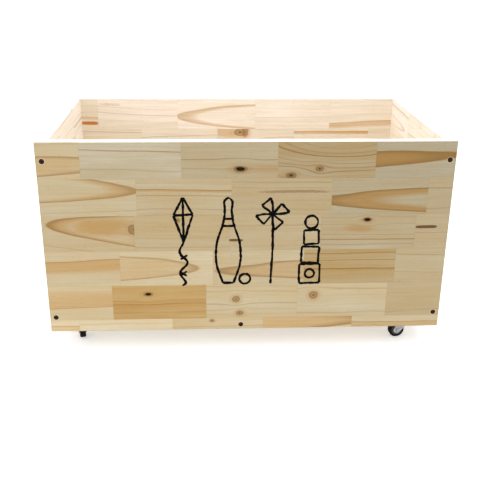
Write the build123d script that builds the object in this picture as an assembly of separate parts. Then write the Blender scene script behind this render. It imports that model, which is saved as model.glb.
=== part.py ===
"""Open-topped wooden toy box on four swivel casters.

Frame: +Z up, +X along the width, the front faces -Y. The origin is on the floor, under the middle of the box.
All sizes are in millimetres.
"""

from build123d import *
import os
from math import acos, atan2, cos, hypot, radians, sin

# --- box ---
BOX_WIDTH = 600.0
BOX_DEPTH = 350.0
WALL_HEIGHT = 294.0
WALL_THICKNESS = 18.0
FLOOR_THICKNESS = 15.0
EDGE_ROUND = 0.8  # sanded outer edges of the boards

# --- wood screws that hold the boards together ---
SCREW_DIAMETER = 4.0
SCREW_LENGTH = 40.0
SCREW_HEAD_DIAMETER = 8.0
SCREW_SUNK = 0.4  # how far a head lies below the face
SCREW_TIP_LENGTH = 4.0
SCREW_CROSS_SPAN = 4.4
SCREW_CROSS_WIDTH = 0.9
SCREW_CROSS_DEPTH = 1.4
CORNER_SCREW_FROM_TOP = 27.0
CORNER_SCREW_FROM_BOTTOM = 24.0
SIDE_SCREW_FROM_END = 90.0  # screws through a side wall into the floor board, from the wall's ends
LONG_SCREW_FROM_MIDDLE = 9.5  # the screw through a long wall into the floor board, left of the wall's middle

# --- caster as a whole ---
CASTER_TRAIL = 14.0  # axle behind the swivel axis
PLATE_FROM_SIDE_WALL = 5.0
PLATE_FROM_LONG_WALL = 1.5

# --- wheel ---
WHEEL_DIAMETER = 25.0
TYRE_WIDTH = 9.0
TYRE_THICKNESS = 4.0
TYRE_SHOULDER = 1.6  # round of the tread's edges
TYRE_RIB_WIDTH = 3.0  # rib inside the tyre that sits in the hub's groove
TYRE_RIB_HEIGHT = 0.8
HUB_WEB_WIDTH = 5.0
HUB_RIM_THICKNESS = 1.6
HUB_BOSS_DIAMETER = 7.0
HUB_SIDE_PLAY = 0.3  # hub to each fork leg
HUB_PROUD = 0.1  # how far the hub's boss stands out of the tyre's side

# --- axle ---
AXLE_DIAMETER = 3.0
AXLE_HEAD_DIAMETER = 5.4
AXLE_HEAD_HEIGHT = 0.9
AXLE_PLAY = 0.05  # radial running clearance in the hub

# --- fork ---
FORK_SHEET = 1.2
FORK_BEND_RADIUS = 2.0  # outside of the bend between crown and leg
FORK_EDGE_ROUND = 0.25
FORK_LEG_END_RADIUS = 5.6
FORK_LEG_FRONT = 6.5  # how far a leg reaches in front of the swivel axis, at the crown
FORK_LEG_REAR = 12.0  # and behind it
WHEEL_TO_CROWN = 1.8

# --- ball race between fork and plate ---
BALL_DIAMETER = 3.0
BALL_COUNT = 12
RACE_RADIUS = 7.0
RACE_GROOVE_DEPTH = 0.25
RACE_PLAY = 0.05
RACE_WALL_PLAY = 0.8  # balls to the cup's rim
RACE_RIM_PLAY = 0.4  # rim to the plate above it

# --- mounting plate ---
PLATE_LENGTH = 38.0
PLATE_WIDTH = 32.0
PLATE_SHEET = 1.5
PLATE_CORNER = 3.0
PLATE_HOLE_MARGIN = 4.5  # a hole's middle to the plate's edges
BOSS_DEPTH = 2.0
BOSS_OVERHANG = 1.0  # how far the boss reaches past the cup

# --- kingpin rivet ---
KINGPIN_DIAMETER = 5.0
KINGPIN_HEAD_HEIGHT = 1.4
KINGPIN_HEAD_PLAY = 0.1  # lower head to the bends of the fork
KINGPIN_PLAY = 0.05  # radial running clearance in the crown, and below it

# --- screws that hold a plate to the floor board ---
PLATE_SCREW_DIAMETER = 3.5
PLATE_SCREW_LENGTH = 12.0
PLATE_SCREW_HEAD_DIAMETER = 6.6
PLATE_SCREW_HEAD_HEIGHT = 2.0
PLATE_SCREW_TIP_LENGTH = 3.0
PLATE_SCREW_CROSS_SPAN = 3.6
PLATE_SCREW_CROSS_WIDTH = 0.8
PLATE_SCREW_CROSS_DEPTH = 1.2

# How each caster has come to stand: the direction from its swivel axis to its wheel, in degrees from +X.
TRAIL_ANGLES = {
    "front_left": 104.3,
    "front_right": 186.5,
    "rear_left": 62.0,
    "rear_right": 128.0,
}

# --- worked out from the values above: caster, upwards from the floor ---
AXLE_HEIGHT = WHEEL_DIAMETER / 2
HUB_RADIUS = WHEEL_DIAMETER / 2 - TYRE_THICKNESS
HUB_WIDTH = TYRE_WIDTH + 2 * HUB_PROUD
LEG_INNER = HUB_WIDTH / 2 + HUB_SIDE_PLAY
LEG_OUTER = LEG_INNER + FORK_SHEET
BEND_INNER_RADIUS = FORK_BEND_RADIUS - FORK_SHEET
CROWN_BOTTOM = WHEEL_DIAMETER + WHEEL_TO_CROWN
CROWN_TOP = CROWN_BOTTOM + FORK_SHEET
RACE_GAP = BALL_DIAMETER - 2 * RACE_GROOVE_DEPTH
BALL_HEIGHT = CROWN_TOP + RACE_GAP / 2
BOSS_BOTTOM = CROWN_TOP + RACE_GAP
PLATE_BOTTOM = BOSS_BOTTOM + BOSS_DEPTH
CASTER_HEIGHT = PLATE_BOTTOM + PLATE_SHEET
CUP_RADIUS = RACE_RADIUS + BALL_DIAMETER / 2 + RACE_WALL_PLAY + FORK_SHEET
BOSS_RADIUS = CUP_RADIUS + BOSS_OVERHANG
KINGPIN_HEAD_RADIUS = LEG_INNER - BEND_INNER_RADIUS - KINGPIN_HEAD_PLAY

# --- worked out from the values above: box ---
OVERLAP = 1.0  # how far a cutting tool runs past a face
NEAR = 0.001  # two places closer than this are the same
FLOOR_LENGTH = BOX_WIDTH - 2 * WALL_THICKNESS
FLOOR_WIDTH = BOX_DEPTH - 2 * WALL_THICKNESS
FRONT_FACE = -BOX_DEPTH / 2
LEFT_FACE = -BOX_WIDTH / 2
BOX_BOTTOM = CASTER_HEIGHT
BOX_TOP = BOX_BOTTOM + WALL_HEIGHT
FLOOR_MIDDLE = BOX_BOTTOM + FLOOR_THICKNESS / 2
CORNER_X = BOX_WIDTH / 2 - WALL_THICKNESS / 2
CASTER_X = FLOOR_LENGTH / 2 - PLATE_FROM_SIDE_WALL - PLATE_LENGTH / 2
CASTER_Y = FLOOR_WIDTH / 2 - PLATE_FROM_LONG_WALL - PLATE_WIDTH / 2


def centred_box(length, width, bottom, top):
    """A block centred on the Z axis, between two heights."""
    return Pos(0, 0, (bottom + top) / 2) * Box(length, width, top - bottom)


def disc(radius, bottom, top):
    """A cylinder on the Z axis, between two heights."""
    return Pos(0, 0, (bottom + top) / 2) * Cylinder(radius, top - bottom)


def placed(shape, name):
    """A piece with its own name, ready to be written."""
    shape.label = name
    return shape


# --- screws: each is made with its head's top at the origin and its shank along -Z ---


def cross_recess(span, width, depth):
    """The two crossed slots of a screw head, open at the top."""
    slot = Pos(0, 0, (OVERLAP - depth) / 2) * Box(span, width, depth + OVERLAP)
    return slot + Rot(0, 0, 90) * slot


def shank(radius, start, end, tip_length):
    """A screw's shank from a start depth to an end depth, with a conical tip."""
    body = disc(radius, tip_length - end, -start)
    tip = Pos(0, 0, tip_length / 2 - end) * Cone(radius / 8, radius, tip_length)
    return body + tip


def wood_screw_blank():
    """A countersunk screw without its cross, which is also the shape of the hole it makes."""
    head_radius, radius = SCREW_HEAD_DIAMETER / 2, SCREW_DIAMETER / 2
    head_height = head_radius - radius
    head = Pos(0, 0, -head_height / 2) * Cone(radius, head_radius, head_height)
    return head + shank(radius, head_height, SCREW_LENGTH, SCREW_TIP_LENGTH)


def wood_screw():
    return wood_screw_blank() - cross_recess(SCREW_CROSS_SPAN, SCREW_CROSS_WIDTH, SCREW_CROSS_DEPTH)


def wood_screw_hole():
    """The screw's own shape, and the shallow well above its sunk head."""
    return wood_screw_blank() + disc(SCREW_HEAD_DIAMETER / 2, 0, SCREW_SUNK + OVERLAP)


def plate_screw_blank():
    """A pan-head screw whose head rests on the plane through the origin."""
    head_radius = PLATE_SCREW_HEAD_DIAMETER / 2
    head = disc(head_radius, 0, PLATE_SCREW_HEAD_HEIGHT)
    rim = head.edges().group_by(Axis.Z)[-1]
    head = fillet(rim, PLATE_SCREW_HEAD_HEIGHT / 2)
    return head + shank(PLATE_SCREW_DIAMETER / 2, 0, PLATE_SCREW_LENGTH, PLATE_SCREW_TIP_LENGTH)


def plate_screw():
    cross = cross_recess(PLATE_SCREW_CROSS_SPAN, PLATE_SCREW_CROSS_WIDTH, PLATE_SCREW_CROSS_DEPTH)
    return plate_screw_blank() - Pos(0, 0, PLATE_SCREW_HEAD_HEIGHT) * cross


# --- places of the wood screws; local -Z is the way a screw is driven ---


def front_screw_places():
    """Four corner screws into the side walls' ends, and one into the floor board's long edge."""
    upper = BOX_TOP - CORNER_SCREW_FROM_TOP
    lower = BOX_BOTTOM + CORNER_SCREW_FROM_BOTTOM
    spots = [(x, z) for x in (-CORNER_X, CORNER_X) for z in (lower, upper)]
    spots.append((-LONG_SCREW_FROM_MIDDLE, FLOOR_MIDDLE))
    return [Pos(x, FRONT_FACE + SCREW_SUNK, z) * Rot(90, 0, 0) for x, z in spots]


def rear_screw_places():
    return [Rot(0, 0, 180) * place for place in front_screw_places()]


def left_screw_places():
    """Two screws into the floor board's end."""
    reach = FLOOR_WIDTH / 2 - SIDE_SCREW_FROM_END
    return [Pos(LEFT_FACE + SCREW_SUNK, y, FLOOR_MIDDLE) * Rot(0, -90, 0) for y in (-reach, reach)]


def right_screw_places():
    return [Rot(0, 0, 180) * place for place in left_screw_places()]


SCREW_PLACES = {
    "front": front_screw_places,
    "rear": rear_screw_places,
    "left": left_screw_places,
    "right": right_screw_places,
}


def drilled(board, sides):
    """A board with the holes of every wood screw that the named sides hold."""
    hole = wood_screw_hole()
    for side in sides:
        for place in SCREW_PLACES[side]():
            board = board - place * hole
    return board


# --- boards ---


def front_board():
    """The front wall, which covers the side walls' ends. Its outer face has sanded edges."""
    board = Box(BOX_WIDTH, WALL_THICKNESS, WALL_HEIGHT)
    outer = board.faces().sort_by(Axis.Y)[0]
    board = fillet(outer.edges(), EDGE_ROUND)
    return Pos(0, FRONT_FACE + WALL_THICKNESS / 2, (BOX_BOTTOM + BOX_TOP) / 2) * board


def left_board():
    """The left wall, between the front and rear walls."""
    board = Box(WALL_THICKNESS, FLOOR_WIDTH, WALL_HEIGHT)
    along = board.edges().filter_by(Axis.Y)
    board = fillet(along.group_by(Axis.X)[0], EDGE_ROUND)
    return Pos(LEFT_FACE + WALL_THICKNESS / 2, 0, (BOX_BOTTOM + BOX_TOP) / 2) * board


def floor_board():
    """The bottom of the box, between the four walls and level with their lower edges."""
    board = centred_box(FLOOR_LENGTH, FLOOR_WIDTH, BOX_BOTTOM, BOX_BOTTOM + FLOOR_THICKNESS)
    board = drilled(board, SCREW_PLACES)
    for name in TRAIL_ANGLES:
        for place in plate_screw_places(name):
            board = board - place * plate_screw_blank()
    return board


def boards():
    half_turn = Rot(0, 0, 180)
    return {
        "front_panel": drilled(front_board(), ["front"]),
        "rear_panel": drilled(half_turn * front_board(), ["rear"]),
        "left_panel": drilled(left_board(), ["left", "front", "rear"]),
        "right_panel": drilled(half_turn * left_board(), ["right", "front", "rear"]),
        "bottom_panel": floor_board(),
    }


def board_screws():
    screw = wood_screw()
    return {f"{side}_screws": group(screw, places()) for side, places in SCREW_PLACES.items()}


def group(shape, places):
    """One node of separate solids: a copy of the shape at each place."""
    return Compound(children=[place * shape for place in places])


# --- caster: each piece is made with the swivel axis on Z and the wheel towards +X ---


def plate_hole_spots():
    half_x = PLATE_LENGTH / 2 - PLATE_HOLE_MARGIN
    half_y = PLATE_WIDTH / 2 - PLATE_HOLE_MARGIN
    return [(x, y) for x in (-half_x, half_x) for y in (-half_y, half_y)]


def caster_corner(name):
    """The place of a caster's swivel axis, on the floor under it."""
    x = CASTER_X if name.endswith("right") else -CASTER_X
    y = CASTER_Y if name.startswith("rear") else -CASTER_Y
    return Pos(x, y, 0)


def plate_screw_places(name):
    """Screws driven upwards through a caster's plate, heads under the plate."""
    flip = Rot(180, 0, 0)
    return [caster_corner(name) * Pos(x, y, PLATE_BOTTOM) * flip for x, y in plate_hole_spots()]


def race_groove(height, play):
    """The ring-shaped path of the balls, with its middle at a height."""
    return Pos(0, 0, height) * Torus(RACE_RADIUS, BALL_DIAMETER / 2 + play)


def mounting_plate():
    """A rounded plate with a pressed boss, whose hollow takes the kingpin's upper head."""
    plate = centred_box(PLATE_LENGTH, PLATE_WIDTH, PLATE_BOTTOM, CASTER_HEIGHT)
    plate = fillet(plate.edges().filter_by(Axis.Z), PLATE_CORNER)
    plate = plate + disc(BOSS_RADIUS, BOSS_BOTTOM, PLATE_BOTTOM)
    plate = plate - disc(BOSS_RADIUS - PLATE_SHEET, BOSS_BOTTOM + PLATE_SHEET, CASTER_HEIGHT + OVERLAP)
    plate = plate - disc(KINGPIN_DIAMETER / 2, BOSS_BOTTOM - OVERLAP, CASTER_HEIGHT)
    plate = plate - race_groove(BALL_HEIGHT, RACE_PLAY)
    hole = disc(PLATE_SCREW_DIAMETER / 2, PLATE_BOTTOM - OVERLAP, CASTER_HEIGHT + OVERLAP)
    for x, y in plate_hole_spots():
        plate = plate - Pos(x, y, 0) * hole
    return plate


def kingpin():
    """The rivet that the fork swivels on. It is fast in the plate and free in the fork."""
    radius, head_radius = KINGPIN_DIAMETER / 2, KINGPIN_HEAD_RADIUS
    lower_head_top = CROWN_BOTTOM - KINGPIN_PLAY
    upper_head_bottom = BOSS_BOTTOM + PLATE_SHEET
    pin = disc(radius, lower_head_top - KINGPIN_HEAD_HEIGHT, upper_head_bottom + KINGPIN_HEAD_HEIGHT)
    lower = disc(head_radius, lower_head_top - KINGPIN_HEAD_HEIGHT, lower_head_top)
    lower = fillet(lower.edges().group_by(Axis.Z)[0], KINGPIN_HEAD_HEIGHT / 2)
    upper = disc(head_radius, upper_head_bottom, upper_head_bottom + KINGPIN_HEAD_HEIGHT)
    return pin + lower + upper


def balls():
    """The ring of balls, resting in the crown's groove."""
    step = 360 / BALL_COUNT
    turns = [radians(step * i) for i in range(BALL_COUNT)]
    spots = [Pos(RACE_RADIUS * cos(a), RACE_RADIUS * sin(a), BALL_HEIGHT) for a in turns]
    return group(Sphere(BALL_DIAMETER / 2), spots)


def tangent_point(corner, centre, radius, turn):
    """Where a line from a corner touches a circle. turn is +1 or -1 and picks the side."""
    away_x, away_y = corner[0] - centre[0], corner[1] - centre[1]
    angle = atan2(away_y, away_x) + turn * acos(radius / hypot(away_x, away_y))
    return centre[0] + radius * cos(angle), centre[1] + radius * sin(angle)


def fork_outline():
    """The fork seen from its side: from the crown's edge down to a round end about the axle."""
    centre = (CASTER_TRAIL, AXLE_HEIGHT)
    front_low = (-FORK_LEG_FRONT, CROWN_BOTTOM)
    front_top = (-FORK_LEG_FRONT, CROWN_TOP)
    rear_top = (FORK_LEG_REAR, CROWN_TOP)
    rear_end = tangent_point(rear_top, centre, FORK_LEG_END_RADIUS, -1)
    front_end = tangent_point(front_low, centre, FORK_LEG_END_RADIUS, 1)
    lowest = (centre[0], centre[1] - FORK_LEG_END_RADIUS)
    sides = Polyline(front_end, front_low, front_top, rear_top, rear_end)
    return make_face(sides.edges() + ThreePointArc(rear_end, lowest, front_end).edges())


def channel_block(half_width, top, bend_radius, reach):
    """A long block along X, open at the bottom, whose two upper long edges are bent to a radius."""
    block = Pos(0, 0, top / 2) * Box(reach, 2 * half_width, top)
    upper = block.edges().filter_by(Axis.X).group_by(Axis.Z)[-1]
    return fillet(upper, bend_radius)


def fork_channel():
    """The U-shaped sheet of crown and legs, cut to the side outline, with its burrs rounded off."""
    reach = 4 * (CASTER_TRAIL + CUP_RADIUS)
    outer = channel_block(LEG_OUTER, CROWN_TOP, FORK_BEND_RADIUS, reach)
    inner = channel_block(LEG_INNER, CROWN_BOTTOM, BEND_INNER_RADIUS, reach)
    side = Pos(0, 2 * LEG_OUTER, 0) * extrude(Plane.XZ * fork_outline(), 4 * LEG_OUTER)
    channel = (outer & side) - inner
    rims = [edge for edge in channel.edges() if on_outer_face(edge)]
    return fillet(rims, FORK_EDGE_ROUND)


def on_outer_face(edge):
    """Whether an edge runs round the outside of a leg, below the bend."""
    start, end = edge.position_at(0), edge.position_at(1)
    outside = all(abs(abs(point.Y) - LEG_OUTER) < NEAR for point in (start, end))
    return outside and abs(start.Z - end.Z) > NEAR


def ball_cup():
    """The round cup on the crown, whose rim closes the ball race."""
    rim_top = BOSS_BOTTOM - RACE_RIM_PLAY
    cup = disc(CUP_RADIUS, CROWN_BOTTOM, rim_top)
    cup = fillet(cup.edges().group_by(Axis.Z)[0], FORK_SHEET / 2)
    return cup - disc(CUP_RADIUS - FORK_SHEET, CROWN_TOP, rim_top + OVERLAP)


def fork():
    """Channel and ball cup, with the holes for kingpin and axle."""
    body = fork_channel() + ball_cup()
    body = body - disc(KINGPIN_DIAMETER / 2 + KINGPIN_PLAY, 0, CASTER_HEIGHT)
    body = body - race_groove(BALL_HEIGHT + RACE_PLAY, RACE_PLAY)
    return body - on_axle(Cylinder(AXLE_DIAMETER / 2, 4 * LEG_OUTER))


def on_axle(shape):
    """A shape made about Z at the origin, turned on to the axle's line."""
    return Pos(CASTER_TRAIL, 0, AXLE_HEIGHT) * Rot(90, 0, 0) * shape


def axle():
    """The rivet through both legs, with a rounded head outside each."""
    pin = Cylinder(AXLE_DIAMETER / 2, 2 * (LEG_OUTER + AXLE_HEAD_HEIGHT))
    head = disc(AXLE_HEAD_DIAMETER / 2, LEG_OUTER, LEG_OUTER + AXLE_HEAD_HEIGHT)
    head = fillet(head.edges().group_by(Axis.Z)[-1], AXLE_HEAD_HEIGHT / 2)
    return on_axle(pin + head + mirror(head, about=Plane.XY))


def hub_groove(width, height):
    """The ring round the hub's rim that the tyre's rib fills."""
    outer = Cylinder(HUB_RADIUS + OVERLAP, width)
    return outer - Cylinder(HUB_RADIUS - height, width + OVERLAP)


def wheel_hub():
    """A rim, a thinner web and a boss with the axle's bore."""
    rim = Cylinder(HUB_RADIUS, TYRE_WIDTH) - Cylinder(HUB_RADIUS - HUB_RIM_THICKNESS, TYRE_WIDTH + OVERLAP)
    web = Cylinder(HUB_RADIUS - HUB_RIM_THICKNESS / 2, HUB_WEB_WIDTH)
    boss = Cylinder(HUB_BOSS_DIAMETER / 2, HUB_WIDTH)
    hub = rim + web + boss - hub_groove(TYRE_RIB_WIDTH, TYRE_RIB_HEIGHT)
    return on_axle(hub - Cylinder(AXLE_DIAMETER / 2 + AXLE_PLAY, 2 * HUB_WIDTH))


def tyre():
    """The solid tyre, with rounded shoulders and a rib that keys it to the hub."""
    ring = Cylinder(WHEEL_DIAMETER / 2, TYRE_WIDTH)
    ring = fillet(ring.edges().filter_by(GeomType.CIRCLE), TYRE_SHOULDER)
    ring = ring - Cylinder(HUB_RADIUS, TYRE_WIDTH + OVERLAP)
    rib = Cylinder(HUB_RADIUS + OVERLAP / 2, TYRE_RIB_WIDTH)
    rib = rib - Cylinder(HUB_RADIUS - TYRE_RIB_HEIGHT, TYRE_RIB_WIDTH + OVERLAP)
    return on_axle(ring + rib)


def caster(name):
    """Every piece of one caster: the fixed ones square to the box, the others turned to their trail."""
    corner = caster_corner(name)
    turned = corner * Rot(0, 0, TRAIL_ANGLES[name])
    fixed = {"plate": mounting_plate(), "kingpin": kingpin()}
    swivelling = {"balls": balls(), "fork": fork(), "axle": axle(), "wheel_hub": wheel_hub(), "tyre": tyre()}
    pieces = {f"{name}_{piece}": corner * shape for piece, shape in fixed.items()}
    pieces |= {f"{name}_{piece}": turned * shape for piece, shape in swivelling.items()}
    pieces[f"{name}_plate_screws"] = group(plate_screw(), plate_screw_places(name))
    return pieces


def main():
    os.makedirs("parts", exist_ok=True)
    pieces = boards() | board_screws()
    for name in TRAIL_ANGLES:
        pieces |= caster(name)
    for name, shape in pieces.items():
        export_step(placed(shape, name), f"parts/{name}.step")


main()
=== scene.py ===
"""Looks of the wooden toy box: finger-jointed pine boards, painted drawings, screws and casters."""

import math
import random
from collections import namedtuple

import bmesh
import bpy
from mathutils import Matrix, Vector, noise


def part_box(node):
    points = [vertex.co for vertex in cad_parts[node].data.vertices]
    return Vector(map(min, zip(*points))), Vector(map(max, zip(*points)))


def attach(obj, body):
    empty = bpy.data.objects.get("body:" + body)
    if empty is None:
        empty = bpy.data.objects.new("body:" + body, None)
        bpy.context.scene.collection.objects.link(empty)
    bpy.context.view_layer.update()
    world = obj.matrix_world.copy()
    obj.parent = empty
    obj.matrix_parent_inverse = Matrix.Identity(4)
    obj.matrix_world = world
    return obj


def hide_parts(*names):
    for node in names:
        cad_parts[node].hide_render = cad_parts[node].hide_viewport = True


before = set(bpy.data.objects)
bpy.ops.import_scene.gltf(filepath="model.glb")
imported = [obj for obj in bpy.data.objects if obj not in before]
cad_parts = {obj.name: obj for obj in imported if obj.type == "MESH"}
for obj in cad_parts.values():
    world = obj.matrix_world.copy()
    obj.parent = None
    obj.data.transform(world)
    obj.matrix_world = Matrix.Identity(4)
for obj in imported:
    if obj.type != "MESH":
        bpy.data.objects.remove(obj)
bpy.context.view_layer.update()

MM = 0.001


def srgb(red, green, blue):
    """A colour given in the usual 0 to 255 values, as the linear colour that a shader takes."""
    def linear(value):
        value = value / 255
        return value / 12.92 if value <= 0.04045 else ((value + 0.055) / 1.055) ** 2.4

    return (linear(red), linear(green), linear(blue), 1.0)


# ---------------------------------------------------------------- shader arithmetic


class Field:
    """A number that varies over a surface. Sums with it add math nodes to its material."""

    def __init__(self, net, socket):
        self.net, self.socket = net, socket

    def __add__(self, other):
        return self.net.math("ADD", self, other)

    def __radd__(self, other):
        return self.net.math("ADD", other, self)

    def __sub__(self, other):
        return self.net.math("SUBTRACT", self, other)

    def __rsub__(self, other):
        return self.net.math("SUBTRACT", other, self)

    def __mul__(self, other):
        return self.net.math("MULTIPLY", self, other)

    def __truediv__(self, other):
        return self.net.math("DIVIDE", self, other)

    def __abs__(self):
        return self.net.math("ABSOLUTE", self)

    def do(self, operation, *others):
        return self.net.math(operation, self, *others)

    def smooth(self, low, high):
        return self.net.step(self, low, high)


class Net:
    """The node tree of one procedural material, with its Principled shader."""

    def __init__(self, name, **surface):
        self.material = bpy.data.materials.new(name)
        self.material.use_nodes = True
        self.tree = self.material.node_tree
        self.shader = self.tree.nodes["Principled BSDF"]
        for socket, value in surface.items():
            self.shader.inputs[socket.replace("_", " ").title().replace("Ior", "IOR")].default_value = value

    def add(self, kind, **settings):
        node = self.tree.nodes.new(kind)
        for setting, value in settings.items():
            setattr(node, setting, value)
        return node

    def feed(self, socket, value):
        if isinstance(value, Field):
            value = value.socket
        if isinstance(value, bpy.types.NodeSocket):
            self.tree.links.new(value, socket)
        else:
            socket.default_value = value

    def math(self, operation, *values):
        node = self.add("ShaderNodeMath", operation=operation)
        for socket, value in zip(node.inputs, values):
            self.feed(socket, value)
        return Field(self, node.outputs[0])

    def step(self, value, low, high):
        """0 below low, 1 above high, and a smooth step between them."""
        node = self.add("ShaderNodeMapRange", interpolation_type="SMOOTHSTEP")
        for socket, number in zip(node.inputs, (value, low, high)):
            self.feed(socket, number)
        return Field(self, node.outputs[0])

    def vector(self, x, y, z):
        node = self.add("ShaderNodeCombineXYZ")
        for socket, value in zip(node.inputs, (x, y, z)):
            self.feed(socket, value)
        return node.outputs[0]

    def parts(self, vector):
        """The three numbers of a vector."""
        node = self.add("ShaderNodeSeparateXYZ")
        self.feed(node.inputs[0], vector)
        return [Field(self, socket) for socket in node.outputs]

    def place(self):
        """Where a point is in its piece's own frame, in millimetres."""
        x, y, z = self.parts(self.add("ShaderNodeTexCoord").outputs["Object"])
        return x / MM, y / MM, z / MM

    def trait(self, name):
        """The three numbers that a face carries under a name."""
        node = self.add("ShaderNodeAttribute", attribute_name=name)
        return self.parts(node.outputs["Vector"])

    def noise(self, vector, scale=1.0, detail=2.0, roughness=0.5):
        """Smooth noise from 0 to 1."""
        node = self.add("ShaderNodeTexNoise")
        self.feed(node.inputs["Vector"], vector)
        node.inputs["Scale"].default_value = scale
        node.inputs["Detail"].default_value = detail
        node.inputs["Roughness"].default_value = roughness
        return Field(self, node.outputs[0])

    def dice(self, vector):
        """One random number from 0 to 1 for each different vector."""
        node = self.add("ShaderNodeTexWhiteNoise", noise_dimensions="3D")
        self.feed(node.inputs["Vector"], vector)
        return Field(self, node.outputs[0])

    def mix(self, factor, first, second, blend="MIX"):
        node = self.add("ShaderNodeMix", data_type="RGBA", blend_type=blend)
        for socket, value in zip((node.inputs[0], node.inputs[6], node.inputs[7]), (factor, first, second)):
            self.feed(socket, value)
        return node.outputs[2]

    def ramp(self, factor, stops):
        """A colour that runs through the stops, each a position and a colour."""
        node = self.add("ShaderNodeValToRGB")
        elements = node.color_ramp.elements
        while len(elements) < len(stops):
            elements.new(0.5)
        for element, (position, colour) in zip(elements, stops):
            element.position, element.color = position, colour
        self.feed(node.inputs[0], factor)
        return node.outputs[0]

    def finish(self, colour, roughness, height, depth):
        """Links colour and roughness, and a bump whose height of 1 stands depth metres proud."""
        bump = self.add("ShaderNodeBump")
        bump.inputs["Strength"].default_value = 1.0
        bump.inputs["Distance"].default_value = depth
        self.feed(bump.inputs["Height"], height)
        self.feed(self.shader.inputs["Base Color"], colour)
        self.feed(self.shader.inputs["Roughness"], roughness)
        self.feed(self.shader.inputs["Normal"], bump.outputs[0])
        return self.material


# ---------------------------------------------------------------- pine

BLEACHED = srgb(242, 232, 221)
PALE = srgb(209, 195, 163)
TAN = srgb(200, 169, 115)
ORANGE = srgb(186, 143, 79)
WOOD_COLOURS = ((0.06, BLEACHED), (0.42, PALE), (0.75, TAN), (1.0, ORANGE))  # for a tone from -1 to 1
GOLDEN = srgb(196, 154, 91)
LATEWOOD = srgb(143, 106, 58)
KNOT_WOOD = srgb(166, 122, 66)
KNOT_DARK = srgb(30, 17, 8)
RUSTY = srgb(188, 112, 42)
RESIN = srgb(62, 42, 18)
CHIPPED = srgb(226, 208, 176)
FIBRE_SHADE = srgb(196, 176, 146)
SEED_SPREAD = 700.0  # how far apart in the noise two blocks can lie
KNOT_REACH_ALONG, KNOT_REACH_ACROSS = 3.4, 1.9  # how far a knot bends the grain, in its own radii


def round_knot(x, y, knot, darkness):
    """Bends the grain round a knot: the point that would be here without it, and how far away it is.

    A dark, dead knot is a flat oval, and a pale, live one is round."""
    knot_x, knot_y, radius = knot
    dx, dy = x - knot_x, y - knot_y
    wide, tall = radius * KNOT_REACH_ALONG + 0.01, radius * KNOT_REACH_ACROSS + 0.01
    reach = dx * dx / (wide * wide) + dy * dy / (tall * tall)
    pull = 1.0 - (0.0 - reach).do("EXPONENT")
    oval = dx * dx * (1.0 - darkness * 0.55) + dy * dy * (1.1 + darkness * 0.7)
    return knot_y + dy * pull, oval.do("SQRT") / (radius + 0.001)


def growth_rings(net, x, y, z, seed):
    """The ring line and the tan band at a point, both from 0 to 1.

    Rings run round the pith. The line at the block's mark is the strongest, and the band lies inside it."""
    pith_x, pith_y, pith_z = net.trait("pith")
    tilt_y, tilt_z, curve = net.trait("bend")
    spacing, band, mark = net.trait("rings")
    along = x - pith_x
    across = y - pith_y - tilt_y * along
    depth = z - pith_z - tilt_z * along - curve * along * along
    beyond = (across * across + depth * depth).do("SQRT") - mark
    jitter = net.noise(net.vector(beyond / spacing * 0.7, seed * 31.0, 0.0), detail=0.0) - 0.5
    rings = beyond / spacing + jitter * abs(beyond).smooth(0.0, 12.0) * 1.1 + 1.0
    ring = rings.do("FLOOR")
    before = (1.0 - (rings - ring)) * spacing
    line = (1.0 - before.smooth(0.0, 2.3)) * before.smooth(0.0, 0.35)
    marked = 1.0 - abs(ring).smooth(0.2, 0.8)
    vigour = net.dice(net.vector(ring, seed * 53.0, 1.0))
    vigour = (vigour * vigour * 0.75 + 0.08).do("MAXIMUM", marked)
    inside = beyond / band + 1.0
    tan = inside.smooth(0.0, 0.5) * (1.0 - beyond.smooth(-0.15, 0.15))
    own_tone = (net.dice(net.vector(ring, seed * 53.0, 2.0)) - 0.5) * 0.12
    return line * vigour, tan, own_tone


def knot_colours(net, colour, distance, darkness, ripple):
    """A knot over the wood: bark and year rings round a dark heart, which fills most of a dead knot."""
    distance = distance + ripple * 0.9
    near = 1.0 - distance.smooth(0.9, 2.4)
    inside = 1.0 - distance.smooth(0.85, 1.1)
    bark = distance.smooth(0.7, 0.92) * (1.0 - distance.smooth(0.95, 1.2))
    rings = (distance * 13.0).do("SINE") * 0.5 + 0.5
    heart = 1.0 - distance.smooth(0.16, 0.4)
    dead = (1.0 - distance.smooth(0.55, 0.82)) * darkness.smooth(0.5, 0.9)
    colour = net.mix((near * rings * 0.3 + near * 0.22).do("MINIMUM", 1.0), colour, ORANGE)
    colour = net.mix(inside * 0.62, colour, KNOT_WOOD)
    shading = bark * 0.3 + rings * inside * 0.14 + heart * (darkness * 0.55 + 0.35)
    return net.mix(shading.do("MAXIMUM", dead).do("MINIMUM", 1.0), colour, KNOT_DARK)


def dash(net, x, y, z, colour):
    """A resin streak: a short dash along the grain with frayed ends, rusty or dark brown."""
    streak_x, streak_y, half_length = net.trait("streak")
    half_height, ink, ragged = net.trait("dash")
    along = (x - streak_x) / (half_length + 0.001)
    across = (y - streak_y) / (half_height + 0.001)
    along, across = along * along, across * across
    frayed = net.noise(net.vector(x / 3.2, y / 0.8, z / 0.8), detail=3.0, roughness=0.6) - 0.5
    inside = 1.0 - ((along * along + across * across) + frayed * ragged * 6.0).smooth(0.5, 1.2)
    return net.mix(inside * (1.0 - ragged * 0.5), colour, net.mix(ink, RUSTY, RESIN))


def along_grain(net, x, y, z, shift, length, width, detail, roughness=0.5):
    """Noise from 0 to 1, drawn out along the grain: length and width are its patches' size in millimetres."""
    return net.noise(net.vector(x / length + shift, y / width, z / width), detail=detail, roughness=roughness)


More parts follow.
